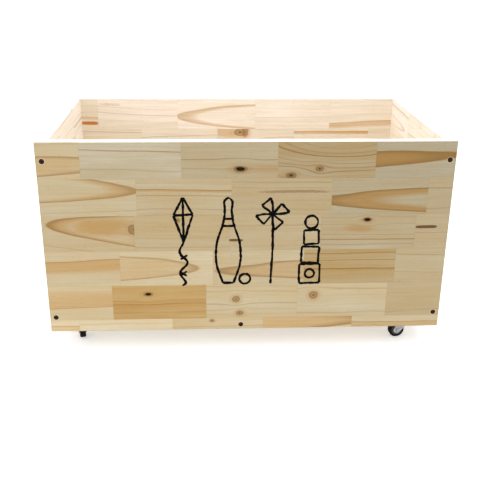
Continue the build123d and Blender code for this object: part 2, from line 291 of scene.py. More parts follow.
def pine():
    """Solid pine: every glued block carries its own pith, ring width, tone, knots and streak."""
    net = Net("pine", specular_ior_level=0.1)
    x, y, z = net.place()
    tone, fill, strength = net.trait("shade")
    seed, light, patch_tone = net.trait("look")
    dark_a, dark_b, _ = net.trait("marks")
    shift = seed * SEED_SPREAD
    sway = along_grain(net, x, y, z, shift, length=120.0, width=50.0, detail=1.0) - 0.5
    ripple = along_grain(net, x, y, z, shift, length=26.0, width=9.0, detail=1.0) - 0.5
    moved_y = y + sway * 5.0 + ripple * 0.9
    moved_y, first_knot = round_knot(x, moved_y, net.trait("knot_a"), dark_a)
    moved_y, second_knot = round_knot(x, moved_y, net.trait("knot_b"), dark_b)
    line, band, own_tone = growth_rings(net, x, moved_y, z + sway * 3.0, seed)
    line = line * strength

    fibre = along_grain(net, x, y, z, shift, length=38.0, width=0.55, detail=3.0, roughness=0.62) - 0.5
    strand = along_grain(net, x, moved_y, z, shift, length=110.0, width=3.4, detail=2.0) - 0.5
    cloud = along_grain(net, x, moved_y, z, shift, length=130.0, width=30.0, detail=1.0) - 0.5
    patch_x, patch_y, patch_long = net.trait("patch")
    patch_dx, patch_dy = x - patch_x, moved_y - patch_y
    patch_reach = (patch_dx * patch_dx + patch_dy * patch_dy * 9.0).do("SQRT") / (patch_long + 0.001)
    patch = 1.0 - (patch_reach + ripple * 0.5).smooth(0.35, 1.1)
    full_tone = tone + own_tone + strand * 0.62 + cloud * 0.45
    colour = net.ramp(full_tone * 0.5 + 0.5, WOOD_COLOURS)
    golden = (band * fill).do("MAXIMUM", patch * patch_tone) + strand * band * fill * 0.5
    colour = net.mix(golden.do("MINIMUM", 1.0), colour, GOLDEN)
    colour = net.mix(line * 0.9, colour, LATEWOOD)
    colour = knot_colours(net, colour, first_knot, dark_a, ripple)
    colour = knot_colours(net, colour, second_knot, dark_b, ripple)
    colour = dash(net, x, moved_y, z, colour)

    canals = along_grain(net, x, y, z, shift, length=7.0, width=0.7, detail=0.0).smooth(0.75, 0.84)
    colour = net.mix(canals * 0.3, colour, RESIN)
    colour = net.mix(abs(fibre) * 0.8, colour, FIBRE_SHADE, "MULTIPLY")
    # A block's light multiplies its colour: its own brightness, and on the front board painted light as well.
    colour = net.mix(1.0, colour, net.vector(light, light, light), "MULTIPLY")

    chipped = chipped_rim(net, x, y, fibre)
    colour = net.mix(chipped * 0.6, colour, CHIPPED)
    edge = edge_wear(net, x, y, z, ripple)
    seam = block_seam(net, x, y)
    colour = net.mix((seam * 0.16 + edge * 0.1).do("MINIMUM", 1.0), colour, RESIN)

    roughness = 0.6 + fibre * 0.25 - line * 0.12 + edge * 0.1
    height = line * 0.5 + fibre * 0.9 - canals * 0.8 - seam * 0.9 - chipped * 1.5
    return net.finish(colour, roughness, height, 0.06 * MM)


def chipped_rim(net, x, y, fibre):
    """Pale wood chipped off round a screw's well."""
    screw_x, screw_y, radius = net.trait("screw")
    across, up = x - screw_x, y - screw_y
    from_rim = (across * across + up * up).do("SQRT") - radius + fibre * 2.5
    return (1.0 - from_rim.smooth(0.2, 0.9)) * radius.smooth(0.0, 1.0)


def edge_wear(net, x, y, z, ripple):
    """Where handling has darkened a board's outer edges: 1 on an edge, 0 from about 2 mm away."""
    length, height, thickness = net.trait("board")
    gap_x = length / 2.0 - abs(x)
    gap_y = height / 2.0 - abs(y - height / 2.0)
    gap_z = (0.0 - z).do("MINIMUM", z + thickness)
    nearest = gap_x.do("MINIMUM", gap_y).do("MINIMUM", gap_z)
    furthest = gap_x.do("MAXIMUM", gap_y).do("MAXIMUM", gap_z)
    to_edge = gap_x + gap_y + gap_z - nearest - furthest
    return 1.0 - (to_edge + ripple * 2.0).smooth(0.2, 1.9)


def block_seam(net, x, y):
    """The hair-thin glue line round a block."""
    left, right, _ = net.trait("span_x")
    low, high, _ = net.trait("span_y")
    gap = (x - left).do("MINIMUM", right - x).do("MINIMUM", y - low).do("MINIMUM", high - y)
    return 1.0 - gap.smooth(0.06, 0.28)


# ---------------------------------------------------------------- blocks of a board

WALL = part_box("front_panel")[1].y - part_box("front_panel")[0].y
OUTER = 0.0
INNER = -WALL / MM
FAR_PITH = 75.0  # how far the pith of a straight-grained block lies from its lines
UNDER_PITH = 24.0

Grain = namedtuple("Grain", "light tone fill strength pith bend rings knots streak dash patch patch_tone")
NONE = (0.0, 0.0, 0.0)
DEAD, LIVE = 1.0, 0.2  # how dark a knot is


def straight(light, tone, y, x=0.0, slope=0.0, above=False, face=OUTER, **rest):
    """Nearly straight lines, the strongest of which passes through x and y on a face."""
    pith = (x, y + (FAR_PITH if above else -FAR_PITH), face - UNDER_PITH)
    return grain(light, tone, pith, (slope, 0.0, 0.0), math.hypot(FAR_PITH, UNDER_PITH), **rest)


def cathedral(light, tone, tip, point, taper=0.09, slope=0.0, depth=28.0, face=OUTER, **rest):
    """Arches that point along +X or -X. The strongest has its tip at a place on a face."""
    pith = (tip[0], tip[1], face - depth)
    return grain(light, tone, pith, (slope, -taper * point, 0.0), depth, **rest)


def island(light, tone, middle, length, height, depth=22.0, **rest):
    """Closed ovals round a place on the outer face. length and height are half those of the strongest."""
    mark = math.hypot(depth, height)
    curve = -(mark - depth) / length ** 2
    return grain(light, tone, (middle[0], middle[1], -depth), (0.0, 0.0, curve), mark, **rest)


def grain(light, tone, pith, bend, mark, strength=0.5, spacing=12.0, fill=0.0, band=6.0, knot=NONE, dark=DEAD,
          knot_b=NONE, dark_b=LIVE, streak=NONE, dash=(1.6, 1.0, 0.3), patch=NONE, patch_tone=0.3):
    """One block, light or dim as a whole, and tan or pale by its tone; on the front board its light also
    holds painted light.

    band is how wide the tan wood inside its strongest line is, and fill how tan. A dash is the streak's
    half height, how dark it is and how ragged."""
    return Grain(light, tone, fill, strength, pith, bend, (spacing, band, mark), (knot, dark, knot_b, dark_b),
                 streak, dash, patch, patch_tone)


# The front board, row by row from the top: a row's lower edge, then each block's right end and grain.
# Places are in millimetres from the board's middle and its lower edge. A block's light is partly its own
# brightness and partly painted light: the blocks are lighter towards the bottom and the left.
FRONT_ROWS = (
    (241.0, (
        (-238.5, cathedral(0.76, 0.02, (-150, 264), 1, taper=0.03, slope=0.03, fill=0.4, band=26,
                           strength=0.7)),
        (-96.0, straight(0.66, -0.16, 282, x=-170, slope=-0.02, strength=0.7, spacing=26, fill=0.25, band=3)),
        (42.0, straight(0.63, 0.0, 270, x=-60, strength=0.7, spacing=15, knot=(-11.5, 255.5, 6.4),
                        patch=(26, 256, 30), patch_tone=0.35)),
        (183.0, cathedral(0.6, 0.26, (22, 306), -1, taper=0.3, depth=34, spacing=5.5, strength=1.0, band=16,
                          fill=0.15, knot=(102, 255, 4.6), dark=0.5, knot_b=(61, 245, 5.5), dark_b=0.65)),
        (300.0, cathedral(0.56, -0.1, (318, 275), 1, taper=0.02, slope=0.05, fill=1.2, band=26, spacing=14,
                          strength=0.6)),
    )),
    (185.5, (
        (-161.5, cathedral(0.73, -0.06, (-157, 224), 1, taper=0.066, slope=-0.02, fill=0.55, band=3.8,
                           spacing=14, strength=0.65)),
        (-24.0, straight(0.7, 0.05, 225, x=-90, fill=0.6, band=5, spacing=9, strength=0.8)),
        (122.0, straight(0.66, 0.14, 236, x=50, spacing=12, strength=0.5, streak=(68, 221, 50),
                         dash=(2.2, 0.55, 1.0))),
        (263.5, cathedral(0.59, -0.02, (84, 209), -1, taper=0.0434, slope=-0.01, fill=0.9, band=6.4,
                          spacing=13, strength=0.7)),
        (300.0, straight(0.62, 0.07, 226, x=280, spacing=14, strength=0.6)),
    )),
    (130.5, (
        (-166.5, cathedral(0.72, 0.12, (-303, 175), -1, taper=0.085, slope=-0.1, fill=0.65, band=4,
                           spacing=15, strength=0.8, patch=(-216, 168, 52), patch_tone=0.8,
                           knot=(-168, 165, 7.5), dark=0.0)),
        (-27.7, straight(0.7, 0.14, 137, x=-100, spacing=19, strength=0.35, knot=(-103, 178, 3.2), dark=0.1)),
        (108.5, straight(0.69, 0.1, 171, x=40, spacing=11, strength=0.55, streak=(-18, 147, 11),
                         dash=(2.0, 0.8, 0.2))),
        (250.0, straight(0.64, 0.09, 147, x=180, spacing=8, fill=0.5, band=3, strength=0.75,
                         knot=(177, 177, 4.2), patch=(167, 164.5, 25), patch_tone=0.6)),
        (300.0, straight(0.66, 0.1, 157, x=275, spacing=13, strength=0.5, streak=(266, 165, 17),
                         dash=(2.4, 0.85, 0.25))),
    )),
    (75.0, (
        (-190.0, straight(0.78, 0.02, 117, x=-250, slope=0.03, fill=0.72, band=25, spacing=28, strength=0.6)),
        (-52.0, cathedral(0.81, -0.02, (-66, 103.5), 1, taper=0.07, fill=0.38, band=20, spacing=14,
                          strength=0.6)),
        (85.0, cathedral(0.75, 0.02, (-62, 98), -1, taper=0.028, fill=0.45, band=20, spacing=13,
                         strength=0.7)),
        (224.0, straight(0.66, 0.36, 100, x=150, spacing=12, fill=0.5, band=5, strength=1.0)),
        (300.0, straight(0.68, 0.06, 122, x=262, slope=-0.03, spacing=22, strength=0.6)),
    )),
    (19.0, (
        (-204.0, straight(0.83, 0.04, 39, x=-250, slope=0.045, above=True, fill=0.55, band=32, spacing=34,
                          strength=0.45)),
        (-62.7, straight(0.8, 0.66, 45, x=-130, spacing=6.5, fill=0.2, strength=0.8, knot=(-150, 62, 4.8))),
        (77.0, straight(0.79, 0.08, 44, x=0, spacing=9, strength=0.6, knot=(-17, 50, 5.4), dark=0.4,
                        knot_b=(-11.5, 27.5, 5.0))),
        (215.0, straight(0.78, 0.02, 66, x=150, spacing=13, strength=0.5, knot=(102, 55.5, 6.0), dark=LIVE)),
        (300.0, straight(0.69, 0.18, 27, x=260, slope=0.06, above=True, spacing=24, strength=0.3)),
    )),
    (0.0, (
        (-256.5, straight(0.95, -0.1, 10, x=-280, fill=0.4, band=12, spacing=8, strength=0.5)),
        (-114.6, straight(0.94, -0.1, 12, x=-190, spacing=12, strength=0.3)),
        (25.0, straight(0.86, 0.16, 6, x=-40, spacing=10, strength=0.4, knot=(-54, 14.5, 2.8), dark=0.5)),
        (163.5, cathedral(0.88, -0.05, (185, 11), 1, taper=0.035, fill=0.6, band=20, spacing=7,
                          strength=0.8)),
        (300.0, straight(0.81, 0.04, 9, x=230, fill=0.5, band=12, spacing=9, strength=0.5)),
    )),
)

# The two upper rows of the rear board, which show over the front one. x is counted along the board's own
# frame, so it runs the other way round as seen from inside.
REAR_TOP_ROWS = (
    (240.0, (
        (-168.0, straight(0.72, 0.04, 252, x=-200, slope=-0.05, face=INNER, fill=0.6, band=12,
                          strength=0.35)),
        (-31.0, straight(0.72, 0.04, 262, x=-100, spacing=18, strength=0.25, face=INNER)),
        (110.0, cathedral(0.72, 0.0, (108, 262), 1, taper=0.085, face=INNER, fill=0.5, band=3.5, spacing=16,
                          strength=0.3)),
        (253.0, straight(0.72, 0.06, 268, x=180, slope=0.05, spacing=11, strength=0.5, face=INNER,
                         streak=(232, 285, 19), dash=(2.2, 0.1, 1.4))),
        (300.0, straight(0.72, 0.16, 262, x=270, spacing=20, strength=0.4, fill=0.3, face=INNER,
                         streak=(268, 251, 15.5), dash=(3.2, 0.0, 0.15))),
    )),
    (185.0, (
        (-241.0, straight(0.72, 0.16, 220, spacing=14, strength=0.3, face=INNER)),
        (-103.0, straight(0.72, 0.11, 236, x=-150, spacing=14, strength=0.4, fill=0.75, band=7, face=INNER)),
        (37.5, straight(0.72, 0.16, 226, spacing=12, strength=0.4, face=INNER, knot=(-4, 235, 9.0), dark=0.5,
                        knot_b=(-13, 237, 5.0), dark_b=0.3, patch=(26, 236, 34), patch_tone=0.6)),
        (176.0, straight(0.72, 0.11, 228, x=120, slope=-0.04, spacing=12, strength=0.5, face=INNER)),
        (300.0, straight(0.72, 0.16, 236, x=220, slope=0.03, spacing=9, strength=0.6, face=INNER)),
    )),
)

# Painted light: the rims are painted palest, a painted highlight where the light from above falls on them,
# and the inner faces are painted paler than the outer ones, most so on the short walls.
RIM_PAINTED_HIGHLIGHT, RIM_PAINTED_HIGHLIGHT_TONE = 1.04, -1.0
# Painted light on the inner faces: how much lighter, paler and less golden they are painted.
Inside = namedtuple("Inside", "light tone_shift fill_share")
INSIDE_PAINTED_LIGHT = Inside(1.0, -0.66, 1.0)
SHORT_WALL_PAINTED_LIGHT = Inside(1.03, -0.92, 0.6)
END_FILL = 0.4  # how much of a block's golden wood shows in its end grain

STRIP = 54.8  # width of a glued strip
BLOCK = 141.0  # usual length of a block
SHORTEST = 0.15 * BLOCK  # a shorter remnant at a row's end joins its neighbour
NARROWEST = 0.2 * STRIP  # and a narrower one below the lowest strip joins that
BANDED_SHARE, KNOTTY_SHARE = 0.4, 0.1  # how many blocks have a golden band, and how many a knot
KNOT_FROM_SEAM = 8.0
STRAIGHT_SHARE, ISLAND_SHARE = 0.6, 0.06  # the others have arches


def random_grain(dice, left, right, low, high):
    """The grain of a block that is not given one by one."""
    middle = dice.uniform(low, high)
    x = dice.uniform(left, right)
    tone = dice.gauss(0.08, 0.12)
    light = dice.uniform(0.66, 0.78)
    rest = {"strength": dice.uniform(0.3, 0.8), "spacing": dice.uniform(8, 20)}
    if dice.random() < BANDED_SHARE:
        rest |= {"fill": dice.uniform(0.2, 0.6), "band": dice.uniform(3, 9)}
    if dice.random() < KNOTTY_SHARE:
        knot_y = dice.uniform(low + KNOT_FROM_SEAM, high - KNOT_FROM_SEAM)
        rest |= {"knot": (x, knot_y, dice.uniform(3.5, 6.0)), "dark": dice.uniform(0, 1)}
    pattern = dice.random()
    if pattern < STRAIGHT_SHARE:
        slope = dice.uniform(-0.04, 0.04)
        return straight(light, tone, middle, x=x, slope=slope, above=dice.random() < 0.5, **rest)
    if pattern < 1.0 - ISLAND_SHARE:
        return cathedral(light, tone, (x, middle), dice.choice((-1, 1)), taper=dice.uniform(0.03, 0.1),
                         slope=dice.uniform(-0.06, 0.06), **rest)
    return island(light, tone, (x, middle), dice.uniform(35, 60), dice.uniform(12, 20), **rest)


def random_row(dice, low, high, half_length):
    """A row of blocks of the usual length from a board's left end to its right."""
    blocks = []
    left = -half_length
    right = left + BLOCK * dice.uniform(0.25, 1.0)
    while left < half_length:
        right = min(right, half_length)
        if half_length - right < SHORTEST:
            right = half_length
        blocks.append((right, random_grain(dice, left, right, low, high)))
        left, right = right, right + BLOCK * dice.uniform(0.92, 1.05)
    return low, tuple(blocks)


def random_rows(dice, height, half_length):
    """Rows of the usual width down to a board's lower edge."""
    tops = [height]
    low = height - STRIP * dice.uniform(0.8, 1.0)
    while low > NARROWEST:
        tops.append(low)
        low -= STRIP
    lows = tops[1:] + [0.0]
    return tuple(random_row(dice, low, high, half_length) for high, low in zip(tops, lows))


# ---------------------------------------------------------------- boards

# Each board's own frame: x along its grain, y across it (upwards on a wall), and z out of its outer face.
BOARD_AXES = {
    "front_panel": ((1, 0, 0), (0, 0, 1), (0, -1, 0)),
    "rear_panel": ((-1, 0, 0), (0, 0, 1), (0, 1, 0)),
    "left_panel": ((0, -1, 0), (0, 0, 1), (-1, 0, 0)),
    "right_panel": ((0, 1, 0), (0, 0, 1), (1, 0, 0)),
    "bottom_panel": ((1, 0, 0), (0, 1, 0), (0, 0, 1)),
}
FINGER_PITCH = 4.5
FINGER_LENGTH = 10.0
FLAT = 0.9999  # a face whose normal is this close to an axis is one of the board's six flat sides
TRAITS = ("pith", "bend", "rings", "shade", "look", "marks", "knot_a", "knot_b", "streak", "dash", "patch",
          "screw", "board", "span_x", "span_y")
CHIPS_REACH = 6.0  # how far from a screw its chipped rim can reach over a block's edge
RIM_REACH = 1.0  # how far from a board's edge a face of its rim can lie
WELL_FLOOR = (-1.0, -0.1)  # the depths between which a screw's well has its floor
WELL_REACH = 12.0  # points closer together than this belong to one well
EDGE_REACH = 1.5  # points closer to a board's edges than this belong to its rounded edge
RIM_SPAN = (-1000.0, 1000.0)  # a rim's seams are the cuts between its fingers, so it has no drawn ones


def board_frame(node):
    """The matrix from a board's own frame to the object's, and its length, height and thickness.

    The frame's origin is low, in the middle, on the outer face."""
    axes = [Vector(axis) for axis in BOARD_AXES[node]]
    low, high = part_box(node)
    middle = (low + high) / 2
    half = (high - low) / 2
    reach = [sum(abs(a * h) for a, h in zip(axis, half)) for axis in axes]
    origin = middle - axes[1] * reach[1] + axes[2] * reach[2]
    turn = Matrix(axes).transposed().to_4x4()
    return Matrix.Translation(origin) @ turn, [2 * r / MM for r in reach]


def cut(mesh, faces, point, normal):
    """Cuts some faces of a mesh along a plane, given in millimetres."""
    geometry = set(faces)
    for face in faces:
        geometry.update(face.edges)
        geometry.update(face.verts)
    bmesh.ops.bisect_plane(mesh, geom=list(geometry), dist=1e-7,
                           plane_co=Vector(point) * MM, plane_no=Vector(normal))


def middle_of(face):
    """A face's middle, in millimetres."""
    return face.calc_center_median() / MM


def finger_shift(z, thickness):
    """How far a finger joint stands to the right at a depth, as a zigzag."""
    turn = (z + thickness) / FINGER_PITCH % 1.0
    return FINGER_LENGTH * (abs(2 * turn - 1) - 0.5)


def is_rim(face, height):
    """Whether a face is on a board's upper or lower edge, where the fingers show."""
    return abs(face.normal.y) > FLAT and min(middle_of(face).y, height - middle_of(face).y) < RIM_REACH


def cut_fingers(mesh, joint, rim_y, size):
    """Cuts the zigzag of one joint into the board's upper or lower edge."""
    length, height, thickness = size

    def near(reach):
        return [f for f in mesh.faces if is_rim(f, height) and abs(middle_of(f).y - rim_y) < RIM_REACH
                and abs(middle_of(f).x - joint) < reach]

    for side in (-0.5, 0.5):
        cut(mesh, near(length), (joint + side * FINGER_LENGTH, 0, 0), (1, 0, 0))
    steps = math.ceil(thickness / (FINGER_PITCH / 2))
    for step in range(1, steps):
        cut(mesh, near(FINGER_LENGTH / 2), (0, 0, step * FINGER_PITCH / 2 - thickness), (0, 0, 1))
    for step in range(steps):
        middle = (step + 0.5) * FINGER_PITCH / 2 - thickness
        strip = [f for f in near(FINGER_LENGTH / 2) if abs(middle_of(f).z - middle) < FINGER_PITCH / 4]
        lean = 1 if step % 2 else -1
        cut(mesh, strip, (joint, 0, middle), (FINGER_PITCH / 2, 0, -lean * FINGER_LENGTH))


def block_of(centre, rim, rows, size):
    """The block that a face belongs to: its grain, and its left, right, lower and upper edges."""
    length, height, thickness = size
    top = height
    for low, blocks in rows:
        if centre.y >= low or low == rows[-1][0]:
            break
        top = low
    left = -length / 2
    for right, kind in blocks:
        shift = finger_shift(centre.z, thickness) if rim else 0.0
        if centre.x < right + shift or right == blocks[-1][0]:
            return kind, (left, right), (low, top)
        left = right


def screw_wells(mesh, size):
    """The middle and radius of each shallow well that a screw's head is sunk in."""
    length, height, _ = size
    floor = [v.co / MM for v in mesh.verts if WELL_FLOOR[0] < v.co.z / MM < WELL_FLOOR[1]]
    inner = [spot for spot in floor
             if abs(spot.x) < length / 2 - EDGE_REACH and EDGE_REACH < spot.y < height - EDGE_REACH]
    wells = []
    while inner:
        near = [spot for spot in inner if (spot - inner[0]).length < WELL_REACH]
        inner = [spot for spot in inner if spot not in near]
        middle = sum(near, Vector()) / len(near)
        wells.append((middle.x, middle.y, max((spot - middle).length for spot in near)))
    return wells


def face_shade(kind, face, rim, inwards, inside):
    """How light a face is, its tone, and how golden its band is. inwards is the way into the box along z."""
    # Painted highlight: a rim face is painted pale and light, whatever its block.
    if rim:
        return RIM_PAINTED_HIGHLIGHT, RIM_PAINTED_HIGHLIGHT_TONE, 0.0
    # Painted light: an inner face is painted paler and lighter than the block's outer faces.
    if face.normal.z * inwards > FLAT:
        return inside.light, kind.tone + inside.tone_shift, kind.fill * inside.fill_share
    if abs(face.normal.x) > FLAT:
        return kind.light, kind.tone, kind.fill * END_FILL
    return kind.light, kind.tone, kind.fill


def block_traits(kind, shade, rim, span_x, span_y, size, wells, seed):
    """What a face of a block carries for the pine material.

    The block's seed is drawn from the text of its grain, so changing any value of a grain redraws its
    fibres."""
    knot_a, dark_a, knot_b, dark_b = kind.knots
    light, tone, fill = shade
    own_seed = random.Random(f"{seed} {kind}").random()
    screws = [well for well in wells if span_x[0] - CHIPS_REACH < well[0] < span_x[1] + CHIPS_REACH
              and span_y[0] - CHIPS_REACH < well[1] < span_y[1] + CHIPS_REACH]
    return {
        "pith": kind.pith, "bend": kind.bend, "rings": kind.rings,
        "shade": (tone, fill, kind.strength),
        "look": (own_seed, light, kind.patch_tone),
        "marks": (dark_a, dark_b, 0.0),
        "knot_a": knot_a, "knot_b": knot_b, "streak": kind.streak, "dash": kind.dash, "patch": kind.patch,
        "screw": screws[0] if screws else NONE,
        "board": size, "span_x": (*(RIM_SPAN if rim else span_x), 0.0), "span_y": (*span_y, 0.0),
    }


def cut_blocks(mesh, rows, size):
    """Cuts a board's mesh along every glue line, and its finger joints into its edges."""
    height = size[1]
    for low, _ in rows:
        if low > 0:
            cut(mesh, mesh.faces, (0, low, 0), (0, 1, 0))
    top = height
    for low, blocks in rows:
        for right, _ in blocks[:-1]:
            row = [f for f in mesh.faces if low < middle_of(f).y < top and not is_rim(f, height)]
            cut(mesh, row, (right, 0, 0), (1, 0, 0))
            if top == height:
                cut_fingers(mesh, right, height, size)
            if low == 0:
                cut_fingers(mesh, right, 0, size)
        top = low


def board(node, rows, seed, material):
    """A board whose mesh is the CAD's, cut along its glue lines, each block with its own grain."""
    matrix, size = board_frame(node)
    mesh = bmesh.new()
    mesh.from_mesh(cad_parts[node].data)
    bmesh.ops.transform(mesh, matrix=matrix.inverted(), verts=mesh.verts)
    bmesh.ops.remove_doubles(mesh, verts=mesh.verts, dist=1e-6)
    wells = screw_wells(mesh, size)
    inwards = 1 if node == "bottom_panel" else -1
    # Painted light for the inner faces, strongest on the short walls.
    inside = SHORT_WALL_PAINTED_LIGHT if node in ("left_panel", "right_panel") else INSIDE_PAINTED_LIGHT
    cut_blocks(mesh, rows, size)
    layers = {name: mesh.faces.layers.float_vector.new(name) for name in TRAITS}
    for face in mesh.faces:
        rim = is_rim(face, size[1])
        kind, span_x, span_y = block_of(middle_of(face), rim, rows, size)
        shade = face_shade(kind, face, rim, inwards, inside)
        traits = block_traits(kind, shade, rim, span_x, span_y, size, wells, seed)
        for name, layer in layers.items():
            face[layer] = traits[name]
        face.smooth = max(abs(a) for a in face.normal) < FLAT
    for edge in mesh.edges:
        edge.smooth = all(face.smooth for face in edge.link_faces)
    piece = mesh_object(node.replace("_panel", "_board"), mesh, material)
    piece.matrix_world = matrix
    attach(piece, "box")
    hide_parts(node)


def mesh_object(name, mesh, material):
    """Turns a finished bmesh into an object of the scene."""
    data = bpy.data.meshes.new(name)
    mesh.to_mesh(data)
    mesh.free()
    data.materials.append(material)
    piece = bpy.data.objects.new(name, data)
    bpy.context.scene.collection.objects.link(piece)
    return piece


def boards():
    """The four walls and the floor board."""
    material = pine()
    board("front_panel", FRONT_ROWS, 1, material)
    for seed, node in enumerate(list(BOARD_AXES)[1:], 2):
        dice = random.Random(seed)
        length, height, _ = board_frame(node)[1]
        rows = random_rows(dice, height, length / 2)
        if node == "rear_panel":
            low = REAR_TOP_ROWS[-1][0]
            rows = REAR_TOP_ROWS + tuple(row for row in rows if row[0] < low - STRIP / 3)
        board(node, rows, seed, material)


# ---------------------------------------------------------------- painted drawings

PAINT_HEIGHT = 0.14  # how far the paint stands out of the wood
PAINT_ROOT = 0.05  # and how far it reaches into it
STROKE_WIDTH = 3.7
STROKE_STEP = 1.1
STROKE_WAVE, STROKE_BRISTLE = 0.45, 0.3  # how much its width wavers, slowly and quickly
STROKE_WANDER = 0.5  # how far its middle strays
BEAD = ((-1, 0), (-0.72, 0.75), (0, 1), (0.72, 0.75), (1, 0))  # a stroke's section: across and up
ROOT_WIDTH = 0.98  # of the stroke, where it enters the wood


def curved(*points):
    """A smooth hand-drawn line through a few points."""
    ends = [Vector(points[0]) * 2 - Vector(points[1]), *map(Vector, points),
            Vector(points[-1]) * 2 - Vector(points[-2])]
    line = []
    for before, start, end, after in zip(ends, ends[1:], ends[2:], ends[3:]):
        count = max(2, round((end - start).length / STROKE_STEP))
        for i in range(count):
            t = i / count
            line.append(0.5 * (2 * start + (end - before) * t
                               + (2 * before - 5 * start + 4 * end - after) * t * t
                               + (3 * start - before - 3 * end + after) * t ** 3))
    return line + [Vector(points[-1])]


def arc(middle, radius_x, radius_y, start, turn):
    """Part of an oval, from a start angle through a turn, in degrees."""
    count = max(6, round(abs(math.radians(turn)) * max(radius_x, radius_y) / STROKE_STEP))
    angles = [math.radians(start + turn * i / count) for i in range(count + 1)]
    return [Vector((middle[0] + radius_x * math.cos(a), middle[1] + radius_y * math.sin(a))) for a in angles]


def kite():
    """A kite with crossed sticks and a wavy tail with bows."""
    return [
        curved((-95, 213), (-109, 186)), curved((-109, 186), (-95, 144)),
        curved((-95, 144), (-81, 187)), curved((-81, 187), (-95, 213)),
        curved((-95, 211), (-95, 146)), curved((-108, 186), (-82, 187)),
        curved((-95, 144), (-101, 128), (-90, 112), (-101, 96), (-93, 80), (-98, 74)),
        curved((-100, 117), (-90, 124)), curved((-101, 124), (-91, 116)),
        curved((-101, 91), (-91, 98)), curved((-102, 98), (-91, 90)),
    ]


def skittle():
    """A skittle with a striped neck, and its ball."""
    left = curved((-29, 213), (-35, 206), (-34, 192), (-37, 172), (-46, 142), (-47, 112), (-41, 90),
                  (-37, 78))
    right = [Vector((-58 - p.x, p.y)) for p in left]
    return [
        left, right, curved((-37, 78), (-21, 78)),
        curved((-36, 180), (-22, 180)), curved((-37, 169), (-21, 169)),
        arc((-4, 84.5), 8.0, 8.2, 80, 365),
    ]


def pinwheel():
    """A pinwheel with four folded sails, on a stick."""
    sails = []
    for turn in range(4):
        angle = math.radians(90 * turn + 8)

        def spot(x, y):
            return (36 + x * math.cos(angle) - y * math.sin(angle),
                    187 + x * math.sin(angle) + y * math.cos(angle))

        sails += [
            curved(spot(0, 0), spot(1.5, 12), spot(1, 25)),
            curved(spot(1, 25), spot(-14, 15)),
            curved(spot(-14, 15), spot(-6, 7), spot(0, 0)),
        ]
    return sails + [curved((36, 185), (37, 140), (35, 76))]


def blocks_tower():
    """A tower of three building blocks with a ball on top, one block with a ring on its side."""
    def square(x, y, size, lean):
        corners = [(x - size / 2, y), (x + size / 2, y + lean), (x + size / 2 - lean, y + size + lean),
                   (x - size / 2 - lean, y + size), (x - size / 2, y)]
        return [curved(a, b) for a, b in zip(corners, corners[1:])]

    return square(94, 76, 31, 0.6) + square(93, 110, 26, -1.0) + square(95, 139, 22, 1.0) + [
        arc((94, 174), 9.5, 10.0, 70, 368), arc((94, 92), 7.0, 7.0, 20, 366),
    ]


def stroke(mesh, line, seed):
    """Lays a brush stroke along a line: a thin closed bead of paint with a ragged width and round ends."""
    count = len(line)
    rings = []
    for i, point in enumerate(line):
        ahead = line[min(i + 1, count - 1)] - line[max(i - 1, 0)]
        side = Vector((-ahead.y, ahead.x)).normalized()
        from_end = min(i, count - 1 - i) * STROKE_STEP
        taper = math.sqrt(max(0.0, 1 - (1 - min(1.0, (from_end + 0.35) / (0.5 * STROKE_WIDTH))) ** 2))
        wander = noise.noise(Vector((i * 0.21, seed * 7.3, 0.0)))
        left, right = (
            STROKE_WIDTH / 2 * taper
            * (1 + STROKE_WAVE * wander + STROKE_BRISTLE * noise.noise(Vector((i * 0.9, seed, row))))
            for row in (5.0, 9.0))
        middle = point + side * STROKE_WANDER * noise.noise(Vector((i * 0.12, seed * 3.1, 2.0)))
        ring = []
        for across, height in BEAD:
            spot = middle + side * across * (left if across < 0 else right)
            ring.append(mesh.verts.new((spot.x, spot.y, height * PAINT_HEIGHT)))
        for across in (1, -1):
            spot = middle + side * across * (left if across < 0 else right) * ROOT_WIDTH
            ring.append(mesh.verts.new((spot.x, spot.y, -PAINT_ROOT)))
        rings.append(ring)
    for before, after in zip(rings, rings[1:]):
        for j in range(len(before)):
            k = (j + 1) % len(before)
            mesh.faces.new((before[j], after[j], after[k], before[k]))
    mesh.faces.new(rings[0])
    mesh.faces.new(reversed(rings[-1]))


def drawings():
    """The four line drawings on the front, each one piece of thin black paint."""
    matrix = board_frame("front_panel")[0]
    paint = brush_paint()
    for number, make in enumerate((kite, skittle, pinwheel, blocks_tower)):
        mesh = bmesh.new()
        for index, line in enumerate(make()):
            stroke(mesh, line, number * 20 + index)
        bmesh.ops.scale(mesh, vec=(MM, MM, MM), verts=mesh.verts)
        bmesh.ops.recalc_face_normals(mesh, faces=mesh.faces)
        for face in mesh.faces:
            face.smooth = True
        piece = mesh_object("painted_" + make.__name__, mesh, paint)
        piece.matrix_world = matrix
        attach(piece, "box")


def brush_paint():
    """Matt black paint brushed on bare wood: the grain shows through where it is thin."""
    net = Net("brush_paint", specular_ior_level=0.05)
    x, y, z = net.place()
    grain_lines = net.noise(net.vector(x / 14.0, y / 0.5, z), detail=3.0, roughness=0.65)
    blot = net.noise(net.vector(x / 3.0, y / 3.0, z), detail=3.0)
    dry = (grain_lines * 0.7 + blot * 0.3).smooth(0.52, 0.8)
    colour = net.mix(dry * 0.5, srgb(3, 3, 3), srgb(34, 26, 18))
    roughness = 0.72 + dry * 0.2 + (blot - 0.5) * 0.15
    return net.finish(colour, roughness, grain_lines + blot * 0.4, 0.08 * MM)


# ---------------------------------------------------------------- metal, rubber and plastic


